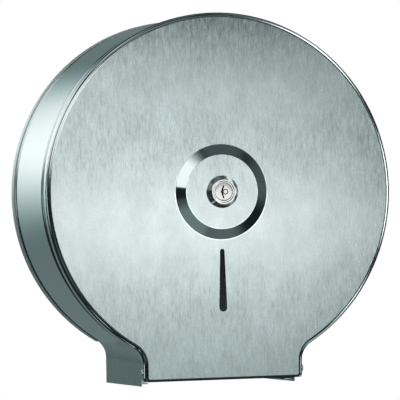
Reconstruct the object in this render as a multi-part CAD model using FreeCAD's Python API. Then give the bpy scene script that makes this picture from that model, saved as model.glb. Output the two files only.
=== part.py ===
import FreeCAD, Part
import math
import os

# Jumbo toilet roll dispenser, closed, lock turned to "open".
# Frame: X to the right, Y into the wall, Z up. The wall is at Y = 0 and the
# round case is centred on X = 0, Z = 0. In this script "s" is the distance
# out from the wall, so a point is (x, -s, z). Sizes are in mm.

os.makedirs("parts", exist_ok=True)

# Case sizes, set by the photograph
case_r = 135.0            # outer radius of the round cover
case_depth = 120.0        # wall to the flat front face
neck_half = 62.4          # half the outer width of the cover's neck
waist_r = 15.0            # concave rounding between disc and neck
neck_run = 12.81          # straight side of the neck, waist rounding to bottom edge
rear_below = 6.7          # back plate's bottom edge, below the cover's
cheek_below = 4.0         # cheeks' front bottom corner, below the cover's edge
corner_r = 4.6            # cover's two bottom corners
sheet = 0.8               # stainless sheet
edge_bend = 3.6           # outer radius of the cover's rounded edge
skirt = 8.5               # how far the cover's edge comes back from its face
lip_trim = 1.6            # cut off under the bottom bend, which leaves a shallow lip

# Clearances
cover_gap = 0.9           # case under the cover's skirt
corner_gap = 0.3          # cheeks inside the cover's corners as the cover swings
seat_gap = 0.05           # lapped or pushed-in pieces of one body
run_gap = 0.08            # turning pieces on their shafts
pin_gap = 0.06            # hinge holes on their pins
past = 2.0                # how far a cutting body reaches past what it cuts

# Back pan
rim_step = 0.4            # pan rim inside the cover's edge, seen from the front
rim_bend = 2.4
rim_edge = 9.5            # front edge of the turned-up rim
wall_hole_r = 3.2
wall_hole_x = 65.0
wall_hole_z = 55.0

# Side band: a rolled strip with a soft groove inside each edge
band_step = 1.0           # band inside the cover's edge, seen from the front
bead_deep = 1.9           # depth of a groove
lip_tail = 3.0            # rear end of the band, from the wall
bead_half = 4.0           # half the length of a groove's slope pair
bead_soft = 5.0           # roundings in the groove
lip_soft = 2.0            # roundings beside the lips
lip_back = 3.0            # front end of the band, behind the face
front_bead_back = 16.6    # middle of the front groove, behind the face
rear_bead_out = 13.4      # middle of the rear groove, from the wall
lip_run = 3.4             # groove middle to straight lip

# Chute cheeks
cheek_front_back = 15.2   # lower front edge of a cheek, behind the face
cheek_nose_back = 2.0     # upper front edge of a cheek, behind the face
cheek_flange = 12.0
tab_angle = 4.0           # degrees of lap under the band's end
tab_root = 1.2            # degrees by which the lap runs down into the cheek
tab_margin = 1.6          # lap stays this far from the grooves
ear_slope = 40.0          # degrees, underside of the hinge ear

# Hinge
hinge_back = 5.2          # pin axis behind the face
hinge_rise = 6.6          # pin axis above the cover's bottom edge
pin_r = 1.5
pin_head_r = 2.75
pin_head_h = 1.0
pin_head_round = 0.8
pin_tail_r = 2.4
washer_gap = 0.15         # spacer washer to the cover's skirt
head_gap = 0.1            # pin head to the cover's skirt
hinge_washer_wall = 0.75

# Dish pressed out of the cover round the lock
dish_h = 2.5
dish_top_r = 28.2
dish_foot_r = 35.6
dish_blend_r = 39.0
dish_soft = 1.4

# Viewing slot in the cover, wider at the bottom
slot_top_z = -44.6
slot_top_r = 1.75
slot_low_z = -87.0
slot_low_r = 3.1

# Tear blades
blade_gap = seat_gap
blade_leg = 10.0
blade_foot = 6.0
blade_below = 2.6         # blade's underside, below the cover's bottom edge
blade_from = 6.0          # rear end of a blade, from the wall
blade_back = 20.0         # front end of a blade, behind the face
tooth_pitch = 4.7
tooth_depth = 2.8
blade_t = 0.7

# Spindle, fixed to the back plate
flange_r = 35.0
flange_t = 3.0
rivet_circle = 30.0
rivet_r = 2.0
rivet_head_r = 3.4
rivet_head_h = 1.5
rivet_head_round = 1.2
rivet_count = 4
post_r = 12.5
post_bore = 8.0
post_plug = 16.0
thrust_r = 17.0
thrust_t = 1.9
retainer_r = 25.0
retainer_t = 2.0
retainer_back = 26.0      # its front face behind the cover's face
screw_r = 3.0
screw_len = 12.0
screw_head_r = 5.4
screw_head_h = 3.0
screw_head_round = 1.6
recess_half = 2.9
recess_w = 1.1
recess_deep = 1.5

# Core hub that carries the roll
hub_rear_gap = 0.3
hub_front_gap = 0.5
hub_r = 27.0
hub_wall = 2.2
hub_tube_wall = 2.6
hub_web = 2.0
hub_rib_h = 1.2
hub_rib_w = 2.4
hub_rib_end = 6.0
hub_spokes = 6

# Lock keeper bracket on the spindle's end
keeper_back = 13.0        # its front face behind the cover's face
keeper_t = 1.5
keeper_half = 22.3
keeper_leg_z = 9.0
keeper_foot_x = 11.0
keeper_slot_half = 7.3
keeper_slot_low = -9.5
keeper_slot_high = 20.3
keeper_screw_x = 15.8
keeper_screw_r = 2.0
keeper_head_r = 3.5
keeper_head_h = 2.2
keeper_head_round = 1.2
small_recess_half = 1.9
small_recess_w = 0.8
small_recess_deep = 1.0

# Lock
bezel_r = 12.2
bezel_top_r = 9.6
bezel_h = 5.0
bezel_foot = 0.8
bezel_round = 0.9
bezel_lip_r = 8.3
face_step = 0.8
face_ledge_r = 7.7
barrel_r = 9.0
barrel_tail = 9.0         # rear end of the barrel behind the cover's face
plug_r = 7.0
plug_front_step = 0.3
boss_r = 1.55
boss_x = 1.45
boss_ring = 0.5
boss_deep = 0.35
keyway_deep = 6.0
keyway_soft = 0.25
keyway_points = [(0.75, 4.7), (-0.75, 0.1), (0.55, -5.0), (-0.5, -5.0), (-2.2, 0.0), (-0.55, 4.7)]
square_half = 3.0
tail_r = 2.6
cam_t = 2.0
cam_back = 16.8           # front face of the cam behind the cover's face
cam_hub_r = 6.3
cam_half = 4.0
cam_reach = 16.0
cam_nut_flat = 5.0
cam_nut_t = 2.6
backing_r = 25.0
backing_t = 1.2
lock_washer_r = 13.6
lock_washer_t = 1.0
nut_flat = 12.0
nut_t = 4.0

# Sizes that follow from the ones above
front = case_depth
skirt_edge = front - skirt
dish_top = front + dish_h
hinge_s = front - hinge_back
blade_to = front - blade_back
cheek_inset = sheet + cover_gap
cheek_half = neck_half - cheek_inset
waist_x = neck_half + waist_r
waist_d = case_r + waist_r
waist_z = -math.sqrt(waist_d ** 2 - waist_x ** 2)
cover_drop = neck_run - waist_z
rear_drop = cover_drop + rear_below
cheek_front_drop = cover_drop + cheek_below
blade_low = cover_drop + blade_below
hinge_z = hinge_rise - cover_drop
end_angle = math.degrees(math.atan2(waist_x, -waist_z))
rim_r = case_r - rim_step
band_r = case_r - band_step
bead_r = band_r - bead_deep
front_lip_r = case_r - cheek_inset
rear_lip_r = rim_r - sheet - seat_gap
front_bead = front - front_bead_back
rear_bead = rear_bead_out
post_from = sheet + flange_t
retainer_front = front - retainer_back
post_to = retainer_front - retainer_t
hub_from = post_from + thrust_t + hub_rear_gap
hub_to = post_to - hub_front_gap
keeper_front = front - keeper_back
barrel_end = front - barrel_tail
cam_front = front - cam_back
cam_rear = cam_front - cam_t
backing_front = dish_top - sheet
backing_rear = backing_front - backing_t
washer_rear = backing_rear - lock_washer_t

ORIGIN = FreeCAD.Vector(0, 0, 0)
OUT = FreeCAD.Vector(0, -1, 0)
RIGHT = FreeCAD.Vector(1, 0, 0)


def at(x, s, z):
    """A point: x to the right, s out from the wall, z up."""
    return FreeCAD.Vector(x, -s, z)


def rod(radius, s_from, s_to, x=0, z=0):
    """A round bar that points out from the wall."""
    return Part.makeCylinder(radius, s_to - s_from, at(x, s_from, z), OUT)


def side_rod(radius, x_from, x_to, s, z):
    """A round bar that points to the right."""
    return Part.makeCylinder(radius, x_to - x_from, at(x_from, s, z), RIGHT)


def block(x_from, x_to, s_from, s_to, z_from, z_to):
    """A box between six planes."""
    return Part.makeBox(x_to - x_from, s_to - s_from, z_to - z_from, at(x_from, s_to, z_from))


def mirrored(shape):
    """The same piece on the other side of the case."""
    return shape.mirror(ORIGIN, RIGHT)


def rounded_face(corners, place):
    """A closed outline of (a, b, rounding) corners, as a flat face."""
    count = len(corners)
    spans = []
    for i in range(count):
        a, b, r = corners[i]
        before = corners[i - 1]
        after = corners[(i + 1) % count]
        back = FreeCAD.Vector(before[0] - a, before[1] - b, 0).normalize()
        ahead = FreeCAD.Vector(after[0] - a, after[1] - b, 0).normalize()
        here = FreeCAD.Vector(a, b, 0)
        if r == 0:
            spans.append((here, None, here))
            continue
        half = back.getAngle(ahead) / 2
        cut = r / math.tan(half)
        inward = (back + ahead).normalize()
        middle = here + inward * (r / math.sin(half) - r)
        spans.append((here + back * cut, middle, here + ahead * cut))
    edges = []
    for i in range(count):
        first, middle, last = spans[i]
        following = spans[(i + 1) % count][0]
        if middle is not None:
            points = [place(p.x, p.y) for p in (first, middle, last)]
            edges.append(Part.Arc(*points).toShape())
        edges.append(Part.makeLine(place(last.x, last.y), place(following.x, following.y)))
    return Part.Face(Part.Wire(edges))


def turned(corners):
    """A solid of revolution round the case's axis from (radius, s, rounding) corners."""
    face = rounded_face(corners, lambda r, s: at(r, s, 0))
    return face.revolve(ORIGIN, OUT, 360)


def turned_arc(corners):
    """The same, open between the two sides of the neck."""
    face = rounded_face(corners, lambda r, s: at(r, s, 0))
    face.rotate(ORIGIN, FreeCAD.Vector(0, 1, 0), 90 - end_angle)
    return face.revolve(ORIGIN, OUT, 360 - 2 * end_angle)


def case_face(r, half, waist, low, corner, s):
    """The case's front view: a disc with a straight neck, as a flat face."""
    centre_x = half + waist
    centre_z = -math.sqrt((r + waist) ** 2 - centre_x ** 2)
    unit_x = centre_x / (r + waist)
    unit_z = centre_z / (r + waist)
    bisect = math.hypot(unit_x + 1, unit_z)
    touch = (r * unit_x, r * unit_z)
    bend = (centre_x - waist * (unit_x + 1) / bisect, centre_z - waist * unit_z / bisect)
    edges = []
    for side in (1, -1):
        def put(x, z):
            return at(side * x, s, z)
        edges.append(Part.Arc(put(*touch), put(*bend), put(half, centre_z)).toShape())
        edges.append(Part.makeLine(put(half, centre_z), put(half, corner - low)))
        if corner > 0:
            slant = corner * (1 - math.sqrt(0.5))
            edges.append(Part.Arc(put(half, corner - low), put(half - slant, slant - low),
                                  put(half - corner, -low)).toShape())
    edges.append(Part.makeLine(at(half - corner, s, -low), at(corner - half, s, -low)))
    edges.append(Part.Arc(at(touch[0], s, touch[1]), at(0, s, r), at(-touch[0], s, touch[1])).toShape())
    return Part.Face(Part.Wire(Part.__sortEdges__(edges)))


def front_edges(solid, s):
    """The edges that lie in the plane at distance s from the wall."""
    return [e for e in solid.Edges if all(abs(v.Y + s) < seat_gap for v in e.Vertexes)]


def save(name, shape):
    """Write one piece as one clean solid."""
    solid = shape.removeSplitter()
    if len(solid.Solids) != 1 or not solid.isValid():
        raise ValueError(name)
    solid.Solids[0].exportStep("parts/" + name + ".step")


def make_back_pan():
    half = cheek_half
    plate_r = rim_r - rim_bend
    plate = case_face(plate_r, half, waist_r + case_r - plate_r, rear_drop, 0, 0).extrude(OUT * sheet)
    inner = plate_r - rim_bend
    rim = turned_arc([(inner, 0, 0), (rim_r, 0, rim_bend), (rim_r, rim_edge, 0),
                      (rim_r - sheet, rim_edge, 0), (rim_r - sheet, sheet, rim_bend - sheet),
                      (inner, sheet, 0)])
    pan = plate.fuse(rim)
    for x in (-wall_hole_x, wall_hole_x):
        for z in (-wall_hole_z, wall_hole_z):
            pan = pan.cut(rod(wall_hole_r, -past, sheet + past, x, z))
    for i in range(rivet_count):
        x, z = rivet_place(i)
        pan = pan.cut(rod(rivet_r + seat_gap, -past, sheet + past, x, z))
    return pan


def make_side_band():
    outer = [(rear_lip_r, lip_tail, 0), (rear_lip_r, rear_bead - lip_run, lip_soft),
             (bead_r, rear_bead, bead_soft), (band_r, rear_bead + bead_half, bead_soft),
             (band_r, front_bead - bead_half, bead_soft), (bead_r, front_bead, bead_soft),
             (front_lip_r, front_bead + lip_run, lip_soft), (front_lip_r, front - lip_back, 0)]
    inner = [(r - sheet, s, soft) for r, s, soft in outer]
    inner.reverse()
    return turned_arc(outer + inner)


def make_cheek():
    """The right-hand cheek with its hinge ear, its lap tab and its rear flange."""
    nose_r = hinge_back - cheek_nose_back
    solid = case_face(front_lip_r, cheek_half, waist_r + cheek_inset, rear_drop + past, 0, sheet)
    hollow = case_face(front_lip_r - sheet, cheek_half - sheet, waist_r + cheek_inset + sheet,
                       rear_drop + past + past, 0, sheet)
    wall = solid.cut(hollow).extrude(OUT * (front - cheek_nose_back - sheet))
    slope = math.radians(ear_slope)
    ear_s = hinge_s - nose_r * math.sin(slope)
    ear_z = hinge_z - nose_r * math.cos(slope)
    step_s = front - cheek_front_back
    step_z = ear_z + (ear_s - step_s) * math.tan(slope)
    top = -front_lip_r * math.cos(math.radians(end_angle))
    nose = Part.Arc(at(0, ear_s, ear_z), at(0, hinge_s + nose_r * math.cos((math.pi / 2 + slope) / 2 - slope),
                    hinge_z - nose_r * math.sin((math.pi / 2 + slope) / 2 - slope)),
                    at(0, hinge_s + nose_r, hinge_z)).toShape()
    ring = [at(0, hinge_s + nose_r, hinge_z), at(0, hinge_s + nose_r, top), at(0, sheet, top),
            at(0, sheet, -rear_drop), at(0, step_s, -cheek_front_drop), at(0, step_s, step_z),
            at(0, ear_s, ear_z)]
    lines = [Part.makeLine(ring[i], ring[i + 1]) for i in range(len(ring) - 1)]
    side = Part.Face(Part.Wire(lines + [nose])).extrude(RIGHT * case_r)
    cheek = wall.common(side)
    cheek = cheek.fuse(block(cheek_half - cheek_flange, cheek_half - sheet / 2, sheet, 2 * sheet,
                             -cheek_front_drop, waist_z))
    tab_outer = band_r - sheet - seat_gap
    tab_from = rear_bead + bead_half + tab_margin
    tab_to = front_bead - bead_half - tab_margin
    tab_face = rounded_face([(tab_outer - sheet, tab_from, 0), (tab_outer, tab_from, 0),
                             (tab_outer, tab_to, 0), (tab_outer - sheet, tab_to, 0)],
                            lambda r, s: at(r, s, 0))
    tab_face.rotate(ORIGIN, FreeCAD.Vector(0, 1, 0), 90 - end_angle + tab_root)
    tab = tab_face.revolve(ORIGIN, OUT, tab_angle + tab_root)
    cheek = cheek.fuse(tab)
    return cheek.cut(side_rod(pin_r + seat_gap, cheek_half - sheet - past, cheek_half + past, hinge_s, hinge_z))


def make_tear_blade():
    """The right-hand blade: a leg on the cheek and a toothed foot turned inwards."""
    outer = cheek_half - sheet - blade_gap
    leg = block(outer - blade_t, outer, blade_from, blade_to, -blade_low, blade_leg - blade_low)
    foot = block(outer - blade_foot, outer, blade_from, blade_to, -blade_low, blade_t - blade_low)
    blade = leg.fuse(foot)
    edge = outer - blade_foot
    count = int((blade_to - blade_from) / tooth_pitch)
    for i in range(count):
        s = blade_from + tooth_pitch * i
        notch = [at(edge - tooth_depth, s, -blade_low - past),
                 at(edge - tooth_depth, s + tooth_pitch, -blade_low - past),
                 at(edge, s + tooth_pitch, -blade_low - past),
                 at(edge + tooth_depth, s + tooth_pitch / 2, -blade_low - past),
                 at(edge, s, -blade_low - past)]
        cutter = Part.Face(Part.makePolygon(notch + notch[:1])).extrude(FreeCAD.Vector(0, 0, 2 * past + blade_t))
        blade = blade.cut(cutter)
    return blade


def rivet_place(i):
    angle = math.radians(360 * (i + 0.5) / rivet_count)
    return rivet_circle * math.cos(angle), rivet_circle * math.sin(angle)


def rounded_head(radius, height, rounding, s, x=0, z=0):
    """A low domed head whose flat side is at distance s from the wall."""
    head = rod(radius, s, s + height, x, z)
    top = front_edges(head, s + height)
    return head.makeFillet(rounding, top)


def make_flange():
    flange = rod(flange_r, sheet, post_from)
    for i in range(rivet_count):
        x, z = rivet_place(i)
        flange = flange.cut(rod(rivet_r + seat_gap, 0, post_from + past, x, z))
    return flange


def make_flange_rivet(i):
    x, z = rivet_place(i)
    return rod(rivet_r, 0, post_from, x, z).fuse(
        rounded_head(rivet_head_r, rivet_head_h, rivet_head_round, post_from, x, z))


def make_post():
    post = rod(post_r, post_from, post_to).cut(rod(post_bore, post_from - past, post_to - post_plug))
    return post.cut(rod(screw_r + seat_gap, post_to - post_plug - past, post_to + past))


def make_retainer():
    disc = rod(retainer_r, post_to, retainer_front).cut(rod(screw_r + seat_gap, post_to - past, front))
    for x in (-keeper_screw_x, keeper_screw_x):
        disc = disc.cut(rod(keeper_screw_r + seat_gap, post_to - past, front, x))
    return disc


def cross_recess(s, half, width, deep, x=0):
    """The cutter for a cross-shaped driver recess."""
    bar = block(x - half, x + half, s - deep, s + past, -width / 2, width / 2)
    return bar.fuse(block(x - width / 2, x + width / 2, s - deep, s + past, -half, half))


def make_post_screw():
    head = rounded_head(screw_head_r, screw_head_h, screw_head_round, retainer_front)
    screw = head.fuse(rod(screw_r, retainer_front - screw_len, retainer_front))
    return screw.cut(cross_recess(retainer_front + screw_head_h, recess_half, recess_w, recess_deep))


def make_keeper():
    round_plate = rod(retainer_r, keeper_front - keeper_t, keeper_front)
    plate = round_plate.common(block(-keeper_half, keeper_half, 0, front, -retainer_r, retainer_r))
    slot = block(-keeper_slot_half, keeper_slot_half, 0, front, keeper_slot_low, keeper_slot_high)
    upright = [e for e in slot.Edges if abs(e.Vertexes[0].Y - e.Vertexes[1].Y) > front / 2]
    plate = plate.cut(slot.makeFillet(keeper_t, upright))
    leg = block(keeper_half - keeper_t, keeper_half, retainer_front, keeper_front, -keeper_leg_z, keeper_leg_z)
    foot = block(keeper_foot_x, keeper_half, retainer_front, retainer_front + keeper_t,
                 -keeper_leg_z, keeper_leg_z)
    foot = foot.cut(rod(keeper_screw_r + seat_gap, 0, front, keeper_screw_x))
    keeper = plate
    for piece in (leg, foot, mirrored(leg), mirrored(foot)):
        keeper = keeper.fuse(piece)
    return keeper


def make_keeper_screw():
    seat = retainer_front + keeper_t
    head = rounded_head(keeper_head_r, keeper_head_h, keeper_head_round, seat, keeper_screw_x)
    screw = head.fuse(rod(keeper_screw_r, post_to, seat, keeper_screw_x))
    return screw.cut(cross_recess(seat + keeper_head_h, small_recess_half, small_recess_w,
                                  small_recess_deep, keeper_screw_x))


def make_thrust_washer():
    return rod(thrust_r, post_from, post_from + thrust_t).cut(rod(post_r + seat_gap, 0, front))


def make_core_hub():
    bore = post_r + run_gap
    tube = rod(bore + hub_tube_wall, hub_from, hub_to)
    sleeve = rod(hub_r, hub_from, hub_to).cut(rod(hub_r - hub_wall, 0, front))
    web = rod(hub_r - hub_wall / 2, hub_from, hub_from + hub_web)
    hub = tube.fuse(sleeve).fuse(web)
    reach = hub_r - hub_wall / 2
    for i in range(hub_spokes):
        spoke = block(bore + hub_web / 2, reach, hub_from, hub_to - hub_web, -hub_web / 2, hub_web / 2)
        rib = block(reach, hub_r + hub_rib_h, hub_from + hub_rib_end, hub_to - hub_rib_end,
                    -hub_rib_w / 2, hub_rib_w / 2)
        spoke = spoke.fuse(rib)
        spoke.rotate(ORIGIN, OUT, 360 * i / hub_spokes)
        hub = hub.fuse(spoke)
    return hub.cut(rod(bore, 0, front))


def make_hinge_pin():
    """The right-hand pin: domed head outside the skirt, upset tail inside the ear."""
    head_x = neck_half + head_gap
    head = side_rod(pin_head_r, head_x, head_x + pin_head_h, hinge_s, hinge_z)
    rim = [e for e in head.Edges if all(abs(v.X - head_x - pin_head_h) < seat_gap for v in e.Vertexes)]
    head = head.makeFillet(pin_head_round, rim)
    inside = cheek_half - sheet
    shank = side_rod(pin_r, inside - sheet, head_x, hinge_s, hinge_z)
    tail = side_rod(pin_tail_r, inside - sheet, inside, hinge_s, hinge_z)
    return head.fuse(shank).fuse(tail)


def make_hinge_washer():
    """A spacer that stays clear of the rounded inside of the cover's edge."""
    radius = pin_r + seat_gap + hinge_washer_wall
    bend = edge_bend - sheet
    reach = max(0, radius + edge_bend - hinge_back)
    sag = bend - math.sqrt(bend ** 2 - reach ** 2)
    outer = neck_half - sheet - sag - washer_gap
    ring = side_rod(radius, cheek_half, outer, hinge_s, hinge_z)
    return ring.cut(side_rod(pin_r + seat_gap, 0, neck_half, hinge_s, hinge_z))


def make_cover_shell():
    low = cover_drop + lip_trim
    outer = case_face(case_r, neck_half, waist_r, low, corner_r, front).extrude(OUT * -skirt)
    outer = outer.makeFillet(edge_bend, front_edges(outer, front))
    inner = case_face(case_r - sheet, neck_half - sheet, waist_r + sheet, low - sheet,
                      corner_r - sheet, front - sheet).extrude(OUT * -(skirt + past))
    inner = inner.makeFillet(edge_bend - sheet, front_edges(inner, front - sheet))
    shell = outer.cut(inner)
    shell = shell.cut(block(-case_r, case_r, skirt_edge - past, front + past, -low - past, -cover_drop))
    swing_half = cheek_half + corner_gap
    shell = shell.cut(block(-swing_half, swing_half, skirt_edge - past, front - edge_bend,
                            -low - past, corner_r - low))
    dish = turned([(barrel_r + seat_gap, dish_top, 0), (dish_top_r, dish_top, dish_soft),
                   (dish_foot_r, front, dish_soft), (dish_blend_r, front, 0),
                   (dish_blend_r, front - sheet, 0), (dish_foot_r, front - sheet, dish_soft),
                   (dish_top_r, dish_top - sheet, dish_soft), (barrel_r + seat_gap, dish_top - sheet, 0)])
    shell = shell.cut(rod(dish_blend_r, skirt_edge, front + past)).fuse(dish)
    lean = math.asin((slot_low_r - slot_top_r) / (slot_top_z - slot_low_z))
    ends = [(slot_top_z, slot_top_r), (slot_low_z, slot_low_r)]
    s = front + past
    right = [at(r * math.cos(lean), s, z + r * math.sin(lean)) for z, r in ends]
    left = [at(-r * math.cos(lean), s, z + r * math.sin(lean)) for z, r in ends]
    slot = Part.Face(Part.Wire([
        Part.makeLine(right[0], right[1]),
        Part.Arc(right[1], at(0, s, slot_low_z - slot_low_r), left[1]).toShape(),
        Part.makeLine(left[1], left[0]),
        Part.Arc(left[0], at(0, s, slot_top_z + slot_top_r), right[0]).toShape()]))
    shell = shell.cut(slot.extrude(OUT * -(2 * past + sheet)))
    return shell.cut(side_rod(pin_r + pin_gap, -case_r, case_r, hinge_s, hinge_z))


def make_backing_plate():
    return rod(backing_r, backing_rear, backing_front).cut(rod(barrel_r + seat_gap, 0, dish_top))


def make_lock_housing():
    top = dish_top + bezel_h
    bore = plug_r + run_gap
    return turned([(bore, barrel_end, 0), (barrel_r, barrel_end, 0), (barrel_r, dish_top, 0),
                   (bezel_r, dish_top, 0), (bezel_r, dish_top + bezel_foot, 0),
                   (bezel_top_r, top, bezel_round), (bezel_lip_r, top, 0),
                   (face_ledge_r, top - face_step, 0), (bore, top - face_step, 0)])


def make_lock_washer():
    return rod(lock_washer_r, washer_rear, backing_rear).cut(rod(barrel_r + seat_gap, 0, front + past))


def hexagon(flat, s_from, s_to):
    """A six-sided bar that points out from the wall; flat is half its width."""
    r = flat / math.cos(math.pi / 6)
    points = [at(r * math.cos(math.pi * i / 3), s_from, r * math.sin(math.pi * i / 3)) for i in range(7)]
    return Part.Face(Part.makePolygon(points)).extrude(OUT * (s_to - s_from))


def make_lock_nut():
    nut = hexagon(nut_flat, washer_rear - nut_t, washer_rear)
    return nut.cut(rod(barrel_r + seat_gap, 0, front))


def make_lock_plug():
    face = dish_top + bezel_h - face_step - plug_front_step
    plug = rod(plug_r, barrel_end, face)
    ring = rod(boss_r + boss_ring, face - boss_deep, face + past, boss_x)
    plug = plug.cut(ring.cut(rod(boss_r, 0, face + 2 * past, boss_x)))
    keyway = rounded_face([(x, z, keyway_soft) for x, z in keyway_points],
                          lambda x, z: at(x, face - keyway_deep, z))
    plug = plug.cut(keyway.extrude(OUT * (keyway_deep + past)))
    plug = plug.fuse(block(-square_half, square_half, cam_rear, barrel_end, -square_half, square_half))
    return plug.fuse(rod(tail_r, cam_rear - cam_nut_t, cam_rear))


def make_lock_cam():
    hub = rod(cam_hub_r, cam_rear, cam_front)
    arm = block(-cam_half, cam_half, cam_rear, cam_front, 0, cam_reach - cam_half)
    end = rod(cam_half, cam_rear, cam_front, 0, cam_reach - cam_half)
    hole = square_half + seat_gap
    return hub.fuse(arm).fuse(end).cut(block(-hole, hole, 0, front, -hole, hole))


def make_cam_nut():
    nut = hexagon(cam_nut_flat, cam_rear - cam_nut_t, cam_rear)
    return nut.cut(rod(tail_r + seat_gap, 0, front))


save("back_pan", make_back_pan())
save("side_band", make_side_band())
for name, make in (("cheek", make_cheek), ("tear_blade", make_tear_blade), ("hinge_pin", make_hinge_pin),
                   ("hinge_washer", make_hinge_washer), ("keeper_screw", make_keeper_screw)):
    piece = make()
    save(name + "_right", piece)
    save(name + "_left", mirrored(piece))
save("spindle_flange", make_flange())
for i in range(rivet_count):
    save("flange_rivet_" + str(i + 1), make_flange_rivet(i))
save("spindle_post", make_post())
save("thrust_washer", make_thrust_washer())
save("core_hub", make_core_hub())
save("retainer_disc", make_retainer())
save("post_screw", make_post_screw())
save("lock_keeper", make_keeper())
save("cover_shell", make_cover_shell())
save("lock_backing_plate", make_backing_plate())
save("lock_housing", make_lock_housing())
save("lock_washer", make_lock_washer())
save("lock_nut", make_lock_nut())
save("lock_plug", make_lock_plug())
save("lock_cam", make_lock_cam())
save("cam_nut", make_cam_nut())
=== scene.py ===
# %% [markdown]
# # Jumbo toilet roll dispenser in brushed stainless steel
# The real object is a round steel case that hangs on a washroom wall. A flat
# brushed cover with a rounded edge closes a rolled side strip, and a chromed
# cam lock sits in a polished dish in its middle. The shapes come from the CAD
# model, so the work here is light and surface: how a brushed sheet, a polished
# slope and a chromed lock pick up the same studio in three different ways.

# %% Load the model
import math

import bpy
from mathutils import Matrix, Vector

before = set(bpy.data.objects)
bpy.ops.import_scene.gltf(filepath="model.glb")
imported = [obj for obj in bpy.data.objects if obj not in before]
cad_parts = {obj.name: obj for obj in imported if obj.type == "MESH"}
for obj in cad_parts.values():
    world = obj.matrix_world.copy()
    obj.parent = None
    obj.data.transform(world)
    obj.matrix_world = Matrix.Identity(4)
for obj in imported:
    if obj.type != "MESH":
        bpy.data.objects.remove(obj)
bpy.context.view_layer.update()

# %% [markdown]
# Three small helpers carry the whole file. Colours are written as the sRGB hex
# values that an eye or a colour picker reads, and turned to linear once. Places
# are in millimetres, as on a drawing. One function adds any node, sets its
# values and makes its links. It gives back one of the node's outputs, so nodes
# can be written one inside the other, like a sum.

# %% Helpers
def linear(hex_colour):
    """Linear RGBA of an sRGB hex colour such as "a0b4b4"."""
    parts = [int(hex_colour[i:i + 2], 16) / 255 for i in (0, 2, 4)]
    return [c / 12.92 if c <= 0.04045 else ((c + 0.055) / 1.055) ** 2.4 for c in parts] + [1]


def mm(*values):
    """Millimetres in metres."""
    return values[0] / 1000 if len(values) == 1 else Vector(values) / 1000


def add(tree, kind, *inputs, at=None, out=0, **settings):
    """Adds a node and gives back one of its outputs, or the node itself where out is None. Inputs
    are values or other nodes' outputs: in the order of the sockets, or in at by name or number."""
    node = tree.nodes.new("ShaderNode" + kind)
    for name, value in settings.items():
        setattr(node, name, value)
    for socket, value in [*enumerate(inputs), *(at or {}).items()]:
        if isinstance(value, bpy.types.NodeSocket):
            tree.links.new(value, node.inputs[socket])
        else:
            node.inputs[socket].default_value = value
    return node if out is None else node.outputs[out]


print("middle grey is", round(linear("808080")[0], 3), "of white, and an inch is", mm(25.4), "m")

# %% [markdown]
# The camera stands a little to the left of the case and level with its middle,
# far enough away that the round front stays almost a true circle. It could be
# placed by eye, but a round rim tells at once when the angle is wrong. So its
# place was found by fitting the rims, the neck, the dish and the slot to the
# photograph.

# %% Camera
yaw, pitch, roll = (math.radians(a) for a in (16.35, -0.14, -1.03))
distance = mm(2312.4)
case_middle = mm(0, -60, 0)
aim_right = mm(0.83)
aim_up = mm(-6.05)
focal_px = 3000
photo_px = 400
sensor_mm = 36
ahead = Vector((math.sin(yaw) * math.cos(pitch), math.cos(yaw) * math.cos(pitch), math.sin(pitch)))
level = Vector((math.cos(yaw), -math.sin(yaw), 0))
upward = level.cross(ahead)
aim = case_middle + aim_right * level + aim_up * upward
right = math.cos(roll) * level + math.sin(roll) * upward
up = math.cos(roll) * upward - math.sin(roll) * level
camera = bpy.data.objects.new("camera", bpy.data.cameras.new("camera"))
camera.matrix_world = Matrix((right, up, -ahead)).transposed().to_4x4()
camera.location = aim - distance * ahead
camera.data.sensor_width = sensor_mm
camera.data.lens = sensor_mm * focal_px / photo_px
camera.data.clip_end = 50
bpy.context.collection.objects.link(camera)
bpy.context.scene.camera = camera
bpy.context.scene.view_settings.view_transform = "Standard"
print("camera at", [round(1000 * v) for v in camera.location], "lens", camera.data.lens)

# %% [markdown]
# A metal has no colour of its own to speak of: it shows what stands round it.
# So the studio matters more here than any other setting. The camera sees plain
# white behind the case. The metal sees a dark cool room with pale patches in
# it, and the dark between them gives the dark lines along the rounded edges.
# Most patches lie to the sides and behind the case, where only the steep
# surfaces find them: the rounded rim, the side strip, the dish's slope and the
# lock's bezel. A picture of a real studio could stand in for all this. Patches
# are clearer, since each can be put where one surface looks. A patch is a round
# spot in a direction: an azimuth, counted from straight in front of the case to
# its right, and an elevation.

# %% The room that the metal mirrors
# azimuth, elevation, half angle that is full, half angle where it ends, brightness
cool_patches = [
    (56, 8, 3, 22, 0.12),
    (52, -4, 2, 12, 0.04),
    (22, 39, 9, 24, 0.12),
    (20, -37, 6, 23, 0.19),
    (-12, -27, 7, 24, 0.32),
    (-25, -12, 3, 9, 0.12),
    (-46, -24, 7, 17, 0.40),
    (-10, 60, 8, 18, 0.50),
    (-120, 2, 6, 16, 0.22),
    (175, -18, 12, 40, 0.27),
    (172, 14, 6, 20, 0.28),
]
white_patches = [
    (-165, 11, 5, 18, 0.15),
    (-138, 26, 12, 24, 1.10),
    (180, 76, 8, 18, 0.80),
    (-108, 26, 12, 20, 1.00),
    (-58, 19, 8, 14, 1.00),
    (-104, -3, 5, 14, 0.80),
    (-65, -54, 2, 6, 1.10),
    (-95, 67, 7, 18, 0.70),
    (-90, -80, 6, 15, 0.60),
    (-46, 28, 10, 26, 1.15),
    (73, 0, 9, 15, 3.00),
    (66, -31, 7, 14, 2.20),
    (63, 37, 9, 18, 2.60),
    (95, 55, 12, 28, 0.80),
    (95, -55, 12, 28, 0.70),
]
dark_room = linear("181f20")
cool_light = linear("c2dadc")
white_light = linear("f8fcfc")
plain_white = linear("ffffff")
matt_light = 0.5         # how strongly the white room lights whatever isn't a mirror


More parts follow.
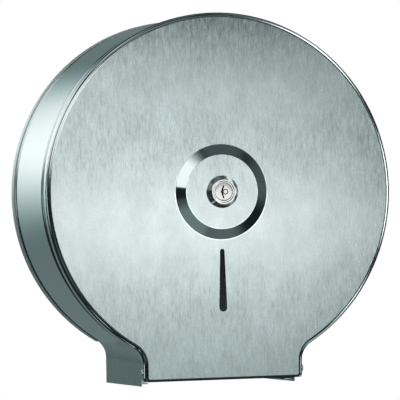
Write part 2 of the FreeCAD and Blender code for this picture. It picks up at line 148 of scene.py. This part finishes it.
def patch_glow(tree, direction, patch):
    """How bright one patch is in a direction."""
    azimuth, elevation, full_angle, end_angle = (math.radians(a) for a in patch[:4])
    reach = math.cos(elevation)
    middle = (math.sin(azimuth) * reach, -math.cos(azimuth) * reach, math.sin(elevation))
    facing = add(tree, "VectorMath", direction, middle, operation="DOT_PRODUCT", out="Value")
    return add(tree, "MapRange", facing, math.cos(end_angle), math.cos(full_angle), 0, patch[4],
               interpolation_type="SMOOTHSTEP")


def seen_directly(tree):
    """1 for what the camera sees, also through something clear; 0 for what a surface sees."""
    path = add(tree, "LightPath", out=None).outputs
    return add(tree, "Math", path["Is Camera Ray"], path["Is Transmission Ray"], operation="ADD",
               use_clamp=True)


room = bpy.data.worlds.new("studio")
bpy.context.scene.world = room
room.use_nodes = True
tree = room.node_tree
tree.nodes.clear()
direction = add(tree, "TexCoord", out="Generated")
studio = add(tree, "Background", dark_room, 1)
for patches, colour in ((cool_patches, cool_light), (white_patches, white_light)):
    glow = 0
    for patch in patches:
        glow = add(tree, "Math", glow, patch_glow(tree, direction, patch), operation="MAXIMUM")
    studio = add(tree, "AddShader", studio, add(tree, "Background", colour, glow))
mirrored = add(tree, "LightPath", out="Is Glossy Ray")
surfaces_see = add(tree, "MixShader", mirrored, add(tree, "Background", plain_white, matt_light), studio)
all_see = add(tree, "MixShader", seen_directly(tree), surfaces_see, add(tree, "Background", plain_white, 1))
add(tree, "OutputWorld", all_see, out=None)
print("patches of light:", len(cool_patches) + len(white_patches))

# %% [markdown]
# Soft boxes do the main lighting. A plain area lamp would show in the cover as
# a rectangle with hard sides. A real soft box is brightest in its middle and
# fades to its rim, so each lamp gets nodes that fade its light, and that fade
# draws the slow change from dark to light over the flat cover. The light also
# turns to a cool green as it fades. A level tube inside the right box gives
# the bright band across the cover, and a weak strip above that box lifts the
# cover's right shoulder. Each lamp's power is worked out from the brightness
# that it shows in a mirror, so 1 is the white of the backdrop.

# %% Soft boxes
white_watts = 4          # watts on a square metre of lamp that a mirror shows as 1
lamp_colour = linear("fbfbfb")[:3]
cool_rim = linear("d0e6e6")
green_rim = linear("8fbcbc")
tube_end = 0.12          # how far from its middle the tube's light ends, as a share of the height
tube_full = 0.04         # how far from its middle it is full


def soft_sides(tree, x, y, fades):
    """1 in the middle of a lamp, less towards its left, right, lower and upper side."""
    strength = 1
    from_right = add(tree, "Math", 1, x, operation="SUBTRACT")
    from_top = add(tree, "Math", 1, y, operation="SUBTRACT")
    for from_side, share in zip((x, from_right, y, from_top), fades):
        soft = add(tree, "MapRange", from_side, 0, share, interpolation_type="SMOOTHSTEP")
        strength = add(tree, "Math", strength, soft, operation="MULTIPLY")
    return strength


def soft_box(name, centre, size, brightness, fades, rim=cool_rim, tube=0, tube_height=0.5):
    """A lamp that stands square to the case; centre and size are in mm, and fades are the soft
    shares of its left, right, lower and upper side. The light turns to the rim's colour as it
    fades. A level tube takes over a share of the light, at tube_height of the lamp's height."""
    lamp = bpy.data.lights.new(name, "AREA")
    lamp.shape = "RECTANGLE"
    lamp.size, lamp.size_y = mm(*size)
    lamp.energy = white_watts * brightness * lamp.size * lamp.size_y
    lamp.color = lamp_colour
    lamp.use_nodes = True
    tree = lamp.node_tree
    tree.nodes.clear()
    place = add(tree, "SeparateXYZ", add(tree, "NewGeometry", out="Parametric"), out=None).outputs
    from_tube = add(tree, "Math", place["Y"], tube_height, operation="SUBTRACT")
    from_tube = add(tree, "Math", from_tube, operation="ABSOLUTE")
    in_tube = add(tree, "MapRange", from_tube, tube_end, tube_full, interpolation_type="SMOOTHSTEP")
    along_height = add(tree, "Math", in_tube, tube, 1 - tube, operation="MULTIPLY_ADD")
    strength = soft_sides(tree, place["X"], place["Y"], fades)
    strength = add(tree, "Math", strength, along_height, operation="MULTIPLY")
    colour = add(tree, "Mix", strength, at={6: rim, 7: plain_white}, out=2, data_type="RGBA")
    add(tree, "OutputLight", add(tree, "Emission", colour, strength), out=None)
    box = bpy.data.objects.new(name, lamp)
    box.location = mm(*centre)
    facing = mm(centre[0], 0, centre[2]) - box.location
    box.rotation_euler = facing.to_track_quat("-Z", "Y").to_euler()
    box.visible_camera = False
    bpy.context.collection.objects.link(box)
    print(name, "power in W:", round(lamp.energy, 2))


soft_box("front_right_box", (315, -1250, -150), (850, 900), 1.25, (0.12, 0.31, 0.44, 0.15),
         tube=0.5, tube_height=0.61)
soft_box("front_top_strip", (330, -1240, 165), (640, 100), 0.3, (0.3, 0.3, 0.4, 0.3))
soft_box("front_left_box", (-310, -1300, 480), (740, 780), 1.0, (0.1, 0.18, 0.04, 0.4))
soft_box("rear_left_box", (-300, 700, 112), (560, 575), 0.85, (0.45, 0.05, 0.54, 0.2), rim=green_rim)

# %% [markdown]
# The case hangs on a wall, so the floor lies well below it. It is pale and
# plain, and lamps that shine on it give it the case's shadow. A wash of its own
# light, for the camera alone, brings it near the white of the backdrop. From
# below it lets the view through, so that the chute can be looked into.

# %% Floor
floor_half = 0.33
floor_height = -900
floor_wash = 0.6
corners = [(-floor_half, -floor_half, 0), (floor_half, -floor_half, 0),
           (floor_half, floor_half, 0), (-floor_half, floor_half, 0)]
floor_mesh = bpy.data.meshes.new("floor")
floor_mesh.from_pydata(corners, [], [(0, 1, 2, 3)])
floor = bpy.data.objects.new("floor", floor_mesh)
floor.location.z = mm(floor_height)
bpy.context.collection.objects.link(floor)
floor_paint = bpy.data.materials.new("pale_floor_paint")
floor_paint.use_nodes = True
tree = floor_paint.node_tree
tree.nodes.clear()
wash = add(tree, "Math", seen_directly(tree), floor_wash, operation="MULTIPLY")
glow = add(tree, "Emission", at={"Strength": wash})
painted = add(tree, "AddShader", add(tree, "BsdfDiffuse", linear("e8e8e8")), glow)
from_below = add(tree, "NewGeometry", out="Backfacing")
floor_seen = add(tree, "MixShader", from_below, painted, add(tree, "BsdfTransparent"))
add(tree, "OutputMaterial", floor_seen, out=None)
floor_mesh.materials.append(floor_paint)
print("floor", 2 * floor_half, "m wide,", -floor_height, "mm under the middle of the case")

# %% [markdown]
# A finish needs a place on its piece, so that the pattern stays with the piece
# when a joint moves. The flat sheets use their own axes. Those would drag the
# pattern askew over the rolled strip, so the strip is unrolled first: its
# length is the angle round the case times its radius, and the scratches run
# round it as they did when it was still straight. Round things, such as the
# dish and the lock, ask for a distance from the lock's axis.

# %% Places on the pieces
strip_r = 134


def sheet_place(tree):
    """A sheet's own place: the first number runs across a grain that stands upright."""
    return add(tree, "TexCoord", out="Object")


def strip_place(tree):
    """The rolled strip's place: the first number is its depth, the second its length."""
    place = add(tree, "SeparateXYZ", sheet_place(tree), out=None).outputs
    turn = add(tree, "Math", place["X"], place["Z"], operation="ARCTAN2")
    length = add(tree, "Math", turn, mm(strip_r), operation="MULTIPLY")
    return add(tree, "CombineXYZ", place["Y"], length)


def chute_place(tree):
    """A chute wall's place: the first number is its depth, the others run down it."""
    place = add(tree, "SeparateXYZ", sheet_place(tree), out=None).outputs
    return add(tree, "CombineXYZ", place["Y"], place["X"], place["Z"])


def lock_radius(tree, x=0):
    """The distance from the lock's axis, or from a line x mm to its right."""
    place = add(tree, "VectorMath", sheet_place(tree), (mm(x), 0, 0), operation="SUBTRACT")
    flat = add(tree, "VectorMath", place, (1, 0, 1), operation="MULTIPLY")
    return add(tree, "VectorMath", flat, operation="LENGTH", out="Value")


print("strip unrolled:", round(2 * math.pi * strip_r), "mm long")

# %% [markdown]
# The cover is one sheet that a press has shaped. The press rubs the grain away
# where it bends the sheet, so the rounded rim and the slope of the dish are
# almost mirrors. A mirror shows each flat strip of a mesh. A finer mesh would
# cure that, but the CAD model's mesh stays as it is. So the rim's true normal
# is worked out from the cover's sizes, and it takes over where it lies close
# to the mesh's own.

# %% The cover's true shape
cover_r = 134.8
cover_bend = 3.6
cover_front = 120
neck_top = -100
slope_inner = 27.6
slope_outer = 36.4
polish_edge = 0.2        # half the width of the soft border of the polish
bend_start = cover_r - cover_bend
rim_margin = 0.5
alike_enough = 0.7


def dish_slope(tree):
    """1 on the polished slope of the dish, 0 elsewhere."""
    radius = lock_radius(tree)
    outside = add(tree, "MapRange", radius, mm(slope_inner - polish_edge), mm(slope_inner + polish_edge))
    inside = add(tree, "MapRange", radius, mm(slope_outer + polish_edge), mm(slope_outer - polish_edge))
    return add(tree, "Math", outside, inside, operation="MULTIPLY")


def round_rim(tree, radius, place):
    """The normal that the cover's rounded rim has at a place, outside the neck."""
    past_start = add(tree, "Math", radius, mm(bend_start), operation="SUBTRACT")
    outward = add(tree, "Math", past_start, 0, operation="MAXIMUM")
    forward = add(tree, "Math", mm(cover_bend - cover_front), place["Y"], operation="SUBTRACT")
    forward = add(tree, "Math", forward, mm(0.001), operation="MAXIMUM")
    angle = add(tree, "Math", outward, forward, operation="ARCTAN2")
    share = add(tree, "Math", add(tree, "Math", angle, operation="SINE"), radius, operation="DIVIDE")
    to_front = add(tree, "Math", add(tree, "Math", angle, operation="COSINE"), -1, operation="MULTIPLY")
    to_right = add(tree, "Math", place["X"], share, operation="MULTIPLY")
    to_top = add(tree, "Math", place["Z"], share, operation="MULTIPLY")
    return add(tree, "CombineXYZ", to_right, to_front, to_top)


def cover_normal(tree):
    """The normal in the cover's own axes. The mesh has only a few flat strips round the rim, so
    the round one takes their place there, where the two are alike."""
    radius = lock_radius(tree)
    place = add(tree, "SeparateXYZ", sheet_place(tree), out=None).outputs
    rim = round_rim(tree, radius, place)
    meshed = add(tree, "TexCoord", out="Normal")
    likeness = add(tree, "VectorMath", rim, meshed, operation="DOT_PRODUCT", out="Value")
    alike = add(tree, "Math", likeness, alike_enough, operation="GREATER_THAN")
    far_out = add(tree, "Math", radius, mm(bend_start - rim_margin), operation="GREATER_THAN")
    above_neck = add(tree, "Math", place["Z"], mm(neck_top), operation="GREATER_THAN")
    on_rim = add(tree, "Math", alike, far_out, operation="MULTIPLY")
    on_rim = add(tree, "Math", on_rim, above_neck, operation="MULTIPLY")
    return add(tree, "Mix", on_rim, at={4: meshed, 5: rim}, out=1, data_type="VECTOR")


print("rim from", round(bend_start, 1), "to", cover_r, "mm, slope",
      round(slope_outer - slope_inner, 1), "mm wide")

# %% [markdown]
# The normal also tells how far the sheet is bent at a place. That is enough to
# find the bends without a mask or a second material. Low on the left, round
# the neck and at the top a painted dark reflection makes the bend a darker
# grey. The flat face isn't quite flat either. It bulges by a hair, as any large
# sheet does, and that is enough to bend the lamps' reflection.

# %% Bends, painted dark reflection and crown
crown_r = 4000
dark_line_low = (-45, -75)    # heights between which the low painted dark reflection sets in, on a line that leans
dark_line_lean = 0.35
dark_line_top = (108, 126)

# how far the sheet faces the front, from 1 on the flat face to 0 on the skirt
bend_range = (0.9986, 0.991)
first_part_range = (0.80, 0.87)
past_first_range = (0.90, 0.84)
before_skirt_range = (0.1, 0.2)


def forwardness(tree, normal):
    """1 where the cover faces the front, 0 where it faces a side."""
    front = add(tree, "SeparateXYZ", normal, out="Y")
    return add(tree, "Math", front, operation="ABSOLUTE")


def bent_away(tree, forward):
    """0 on the flat face of the cover, 1 where the sheet is pressed or bent away from it."""
    return add(tree, "MapRange", forward, *bend_range)


# painted dark reflection: where on the cover's bends the colour is made darker
def painted_dark_reflection(tree, forward):
    """How strongly the cover's bend is painted darker as a dark reflection: on its first part low
    on the left and round the neck, and on its later part at the top."""
    place = add(tree, "SeparateXYZ", sheet_place(tree), out=None).outputs
    leaning_height = add(tree, "Math", place["X"], dark_line_lean, place["Z"], operation="MULTIPLY_ADD")
    low = add(tree, "MapRange", leaning_height, *mm(*dark_line_low))
    high = add(tree, "MapRange", place["Z"], *mm(*dark_line_top))
    first_part = add(tree, "MapRange", forward, *first_part_range)
    past_first = add(tree, "MapRange", forward, *past_first_range)
    before_skirt = add(tree, "MapRange", forward, *before_skirt_range)
    later_part = add(tree, "Math", past_first, before_skirt, operation="MULTIPLY")
    low_line = add(tree, "Math", first_part, low, operation="MULTIPLY")
    top_line = add(tree, "Math", later_part, high, operation="MULTIPLY")
    return add(tree, "Math", low_line, top_line, operation="MAXIMUM")


def crowned(tree, normal):
    """The cover's normal with the very slight bulge of its face."""
    flat = add(tree, "VectorMath", sheet_place(tree), (1, 0, 1), operation="MULTIPLY")
    square = add(tree, "VectorMath", flat, flat, operation="DOT_PRODUCT", out="Value")
    height = add(tree, "Math", square, -0.5 / mm(crown_r), operation="MULTIPLY")
    turned = add(tree, "VectorTransform", normal, vector_type="NORMAL", convert_from="OBJECT",
                 convert_to="WORLD")
    return add(tree, "Bump", at={"Height": height, "Strength": 1, "Distance": 1, "Normal": turned})


print("crown:", round(cover_r ** 2 / 2 / crown_r, 1), "mm high")

# %% [markdown]
# Brushed steel: a belt drags grit over the sheet and leaves long fine scratches
# side by side. Each scratch is a tiny groove, so light spreads across the
# grain and stays sharp along it. A bump for each groove would be lost in the
# render, so three things give the same to the eye: streaks in tone, streaks in
# roughness, and a highlight that is stretched across the grain. A real scratch
# is a few hundredths of a millimetre wide. That is too fine to show, so the
# streaks are drawn as wide as the clumps of scratches that the eye sees.

# %% Streaks
fine_streak = (1.25, 6)      # wide and long, in mm
coarse_streak = (2.6, 13)
cloud = (14, 22)
streak_range = (0.36, 0.64)  # noise keeps to its middle, so this part of it is spread over 0 to 1
cloud_range = (0.3, 0.7)
fine_share = 0.6             # of the grain; the rest is coarse streaks
grain_share = 0.7            # of the tone; the rest is clouds


def streaks(tree, place, spot, detail=2):
    """Noise between 0 and 1 whose spots are as wide and long as spot says."""
    wide, long = (1 / mm(size) for size in spot)
    scaled = add(tree, "VectorMath", place, (wide, long, long), operation="MULTIPLY")
    return add(tree, "TexNoise", at={"Vector": scaled, "Scale": 1, "Detail": detail, "Roughness": 0.6})


print("streaks in mm:", fine_streak, coarse_streak, "clouds in mm:", cloud)

# %% [markdown]
# The streaks go into one steel, and each sheet then says how strong they are.
# The tangent tells the highlight which way the grain runs. The cover's steel
# has more to do: where the press has bent the sheet there are no streaks and
# the metal is smooth, and its edge is painted darker as a dark reflection.

# %% Brushed steel
groove_depth = 0.05          # mm
groove_strength = 0.12
bend_roughness = 0.14
slope_roughness = 0.07
brushed_unevenness = 0.10
middle_tone = 0.5
# the colour of the painted dark reflection on the cover's bends
dark_reflection_colour = linear("5e7072")


def empty_finish(name):
    """A material with no nodes, and its node tree."""
    finish = bpy.data.materials.new(name)
    finish.use_nodes = True
    finish.node_tree.nodes.clear()
    return finish, finish.node_tree


def two_tones(hex_colour, tone):
    """A colour made darker and brighter by the share tone."""
    colour = linear(hex_colour)[:3]
    return [c * (1 - tone) for c in colour] + [1], [min(1, c * (1 + tone)) for c in colour] + [1]


def uneven(tree, pattern, roughness, unevenness):
    """A roughness that goes up and down with a pattern between 0 and 1."""
    return add(tree, "Math", pattern, unevenness, roughness - unevenness / 2, operation="MULTIPLY_ADD")


def brushed_steel(name, place_of, colour, roughness, spread, turn=0, axis="Z", tone=0.10, pressed=False):
    """A sheet with a grain; spread stretches the highlight and turn sets its direction, and tone is
    how strongly the streaks show. A pressed sheet has the cover's bends, crown and painted dark reflection."""
    finish, tree = empty_finish(name)
    place = place_of(tree)
    fine = add(tree, "Math", streaks(tree, place, fine_streak), fine_share, operation="MULTIPLY")
    grain = add(tree, "Math", streaks(tree, place, coarse_streak), 1 - fine_share, fine,
                operation="MULTIPLY_ADD")
    grain = add(tree, "MapRange", grain, *streak_range)
    clouds = add(tree, "MapRange", streaks(tree, place, cloud, detail=3), *cloud_range)
    clouds = add(tree, "Math", clouds, 1 - grain_share, operation="MULTIPLY")
    shade = add(tree, "Math", grain, grain_share, clouds, operation="MULTIPLY_ADD")
    rough = uneven(tree, grain, roughness, brushed_unevenness)
    grooves = {"Height": grain, "Strength": groove_strength, "Distance": mm(groove_depth)}
    if pressed:
        normal = cover_normal(tree)
        forward = forwardness(tree, normal)
        bends = bent_away(tree, forward)
        shade = add(tree, "Mix", bends, at={2: shade, 3: middle_tone})
        rough = add(tree, "Mix", bends, at={2: rough, 3: bend_roughness})
        rough = add(tree, "Mix", dish_slope(tree), at={2: rough, 3: slope_roughness})
        grooves["Normal"] = crowned(tree, normal)
    darker, brighter = two_tones(colour, tone)
    base = add(tree, "Mix", shade, at={6: darker, 7: brighter}, out=2, data_type="RGBA")
    if pressed:
        # painted dark reflection: the bend's colour is darkened
        painted_dark = add(tree, "Math", bends, painted_dark_reflection(tree, forward), operation="MULTIPLY")
        base = add(tree, "Mix", painted_dark, at={6: base, 7: dark_reflection_colour}, out=2, data_type="RGBA")
    surface = add(tree, "BsdfPrincipled", at={
        "Base Color": base,
        "Metallic": 1,
        "Roughness": rough,
        "Anisotropic": spread,
        "Anisotropic Rotation": turn,
        "Tangent": add(tree, "Tangent", direction_type="RADIAL", axis=axis),
        "Normal": add(tree, "Bump", at=grooves),
    })
    add(tree, "OutputMaterial", surface, out=None)
    return finish


# how dark the painted dark reflection on the bends is, beside a clean sheet
print("tarnish is", round(dark_reflection_colour[1], 2), "of white, and a clean sheet", round(linear("d9e2e2")[1], 2))

# %% [markdown]
# The case is made of one kind of sheet, and how each piece was worked tells it
# from its neighbour. The cover and the back share an upright grain. The strip,
# the chute walls and the blades stand at right angles to them, so the tangent
# of their highlight runs round the lock's axis and is turned by a quarter.
# Pieces that never saw a belt have no stretch in their highlight.

# %% Sheet, strip and wire
side_grain = {"turn": 0.25, "axis": "Y"}
steels = {
    # ground by a belt from top to bottom, then pressed: upright streaks, a wide shine, bright bends
    "cover_steel": brushed_steel("brushed_stainless_cover", sheet_place, "d9e2e2", 0.24, 0.6,
                                 tone=0.28, pressed=True),
    # ground finer and rolled to a hoop: a sharper shine, and faint streaks that run round it
    "band_steel": brushed_steel("brushed_stainless_band", strip_place, "cfdada", 0.13, 0.3,
                                tone=0.06, **side_grain),
    # the cover's sheet, folded to the walls of the chute: plain streaks down the wall
    "cheek_steel": brushed_steel("brushed_stainless_cheek", chute_place, "c8d9da", 0.24, 0.5,
                                 tone=0.16, **side_grain),
    # left as the mill delivers it, since it goes to the wall: a dull even grey
    "pan_steel": brushed_steel("brushed_stainless_pan", sheet_place, "d9e2e2", 0.48, 0.3),
    # cold rolled strip with stamped teeth: silky, with hardly a streak
    "blade_steel": brushed_steel("cold_rolled_blade_steel", chute_place, "cfd4d4", 0.30, 0.3,
                                 tone=0.06, **side_grain),
    # stamped, then zinc plated in a drum: a soft grey with the same shine all round
    "inner_steel": brushed_steel("zinc_plated_inner_steel", sheet_place, "ced3d1", 0.45, 0, tone=0.08),
    # wire drawn bright through a die: a small clean highlight
    "pin_steel": brushed_steel("bright_drawn_pin_steel", chute_place, "dde2e2", 0.20, 0, tone=0.04),
}
print("sheet, strip and wire steels:", len(steels))

# %% [markdown]
# Chrome plate is the smoothest skin here: a thin mirror over nickel and zinc.
# The lock's plug has three things that a plain mirror lacks. Its edge is
# rounded off. Dark rings of painted shade lie in the gaps round the plug and
# round the boss. And the inside of the narrow keyhole is painted black, as
# painted shade. All three are only a pixel or two wide, so the surface carries
# them and no new shapes are made.

# %% Plated and turned metals
# painted shade in the gaps round the plug and round the boss
gap_shade_colour = linear("3c3e40")
# painted shade: the inside of the keyhole is coloured black
keyhole_shade_colour = linear("141414")
keyhole_roughness = 0.5
plated_unevenness = 0.04
blotch = 4                   # size of the faint spots in the tone, in mm
gap_shade_rings = [(0, 6.9, 0.4), (1.45, 1.8, 0.45)]    # rings of painted shade: mm right of the axis, radius, half width
plug_flat = 4.2              # radius in mm where the plug's front starts to round off
plug_rounding = 32
keyhole_mouth = 126.3        # mm from the wall
keyhole_bottom = 120.2
keyhole_lip = 0.15           # the painted shade fades in over this depth


def with_gap_shade(tree, base):
    """A colour with the plug's dark rings of painted shade on it, in the gaps round the plug and the boss."""
    for x, ring, half_width in gap_shade_rings:
        from_ring = add(tree, "Math", lock_radius(tree, x), mm(ring), operation="SUBTRACT")
        from_ring = add(tree, "Math", from_ring, operation="ABSOLUTE")
        # painted shade: a dark ring where the gap lies
        gap_shade = add(tree, "MapRange", from_ring, mm(half_width), mm(half_width / 2))
        base = add(tree, "Mix", gap_shade, at={6: base, 7: gap_shade_colour}, out=2, data_type="RGBA")
    return base


def plug_edge(tree):
    """The normal of the plug's front, which rounds off towards its edge."""
    past_flat = add(tree, "Math", lock_radius(tree), mm(plug_flat), operation="SUBTRACT")
    past_flat = add(tree, "Math", past_flat, 0, operation="MAXIMUM")
    square = add(tree, "Math", past_flat, past_flat, operation="MULTIPLY")
    fall = add(tree, "Math", square, -0.5 / mm(plug_rounding), operation="MULTIPLY")
    return add(tree, "Bump", at={"Height": fall, "Strength": 1, "Distance": 1})


def keyhole(tree):
    """1 inside the keyhole, where the painted shade goes, 0 elsewhere."""
    depth = add(tree, "SeparateXYZ", sheet_place(tree), out="Y")
    below_mouth = add(tree, "MapRange", depth, -mm(keyhole_mouth), mm(keyhole_lip - keyhole_mouth))
    above_bottom = add(tree, "Math", depth, -mm(keyhole_bottom), operation="LESS_THAN")
    return add(tree, "Math", below_mouth, above_bottom, operation="MULTIPLY")


def plated_metal(name, colour, roughness, tone=0.04, plug=False):
    """A plated or turned metal with a faint uneven tone; the plug has its rings of painted shade, its rounded
    edge and its keyhole painted black as shade.
    """
    finish, tree = empty_finish(name)
    spots = add(tree, "TexNoise", at={"Vector": sheet_place(tree), "Scale": 1 / mm(blotch), "Detail": 3})
    darker, brighter = two_tones(colour, tone)
    base = add(tree, "Mix", spots, at={6: darker, 7: brighter}, out=2, data_type="RGBA")
    rough = uneven(tree, spots, roughness, plated_unevenness)
    sockets = {"Metallic": 1}
    if plug:
        # painted shade inside the keyhole
        in_keyhole = keyhole(tree)
        base = add(tree, "Mix", in_keyhole, at={6: with_gap_shade(tree, base), 7: keyhole_shade_colour}, out=2,
                   data_type="RGBA")
        rough = add(tree, "Mix", in_keyhole, at={2: rough, 3: keyhole_roughness})
        sockets["Normal"] = plug_edge(tree)
    surface = add(tree, "BsdfPrincipled", at={"Base Color": base, "Roughness": rough, **sockets})
    add(tree, "OutputMaterial", surface, out=None)
    return finish


metals = {
    # a zinc casting, polished, then nickel and chrome: a hard bright mirror
    "lock_chrome": plated_metal("chrome_plated_lock_bezel", "d8d8d8", 0.08, 0.02),
    # the same plating, rubbed by keys: a mirror with a slight haze
    "plug_chrome": plated_metal("chrome_plated_lock_plug", "d4d0cf", 0.14, 0.03, plug=True),
    # stamped and turned steel with a yellowish zinc coat: a warm satin
    "cam_steel": plated_metal("zinc_plated_steel", "c9c9bd", 0.32),
    # a bar turned on a lathe and left bare: a pale satin
    "post_alu": plated_metal("turned_aluminium", "d8d9da", 0.28),
}
print("plated and turned metals:", len(metals))

# %% [markdown]
# The hub that carries the roll, and the washers, are moulded plastic. A steel
# form with a fine etched grain leaves the same grain on each part, so plastic
# shows a broad soft shine and no mirror. The real grain is about a tenth of a
# millimetre and too fine to show, so it is drawn coarser.

# %% Moulded plastics
form_grain = 0.8             # mm
grain_depth = 0.05
grain_strength = 0.2
moulded_unevenness = 0.08
hollow_tone = 0.93           # the hollows of the grain are this share as bright


def moulded_plastic(name, colour, roughness):
    """A plastic with the fine grain of its form."""
    finish, tree = empty_finish(name)
    grain = add(tree, "TexNoise", at={"Vector": sheet_place(tree), "Scale": 1 / mm(form_grain), "Detail": 2})
    hollows = [c * hollow_tone for c in linear(colour)[:3]] + [1]
    surface = add(tree, "BsdfPrincipled", at={
        "Base Color": add(tree, "Mix", grain, at={6: hollows, 7: linear(colour)}, out=2, data_type="RGBA"),
        "Roughness": uneven(tree, grain, roughness, moulded_unevenness),
        "Normal": add(tree, "Bump", at={"Height": grain, "Strength": grain_strength,
                                  "Distance": mm(grain_depth)}),
    })
    add(tree, "OutputMaterial", surface, out=None)
    return finish


plastics = {
    # tough moulded ABS, dyed through: a soft dark grey
    "hub_plastic": moulded_plastic("moulded_abs_hub", "3a3d40", 0.42),
    # slippery moulded nylon in its natural colour: cream, with a duller shine
    "washer_plastic": moulded_plastic("moulded_nylon_washer", "e4e2da", 0.45),
}
print("moulded plastics:", len(plastics))

# %% [markdown]
# Each piece of the CAD model already has slots that say what it is made of.
# The finishes go into these slots, and nothing else about a piece changes.

# %% Dress the pieces
finishes = {**steels, **metals, **plastics}
slots = [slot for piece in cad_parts.values() for slot in piece.material_slots]
for slot in slots:
    slot.material = finishes[slot.name]
print("slots dressed:", len(slots), "with finishes:", len(finishes))
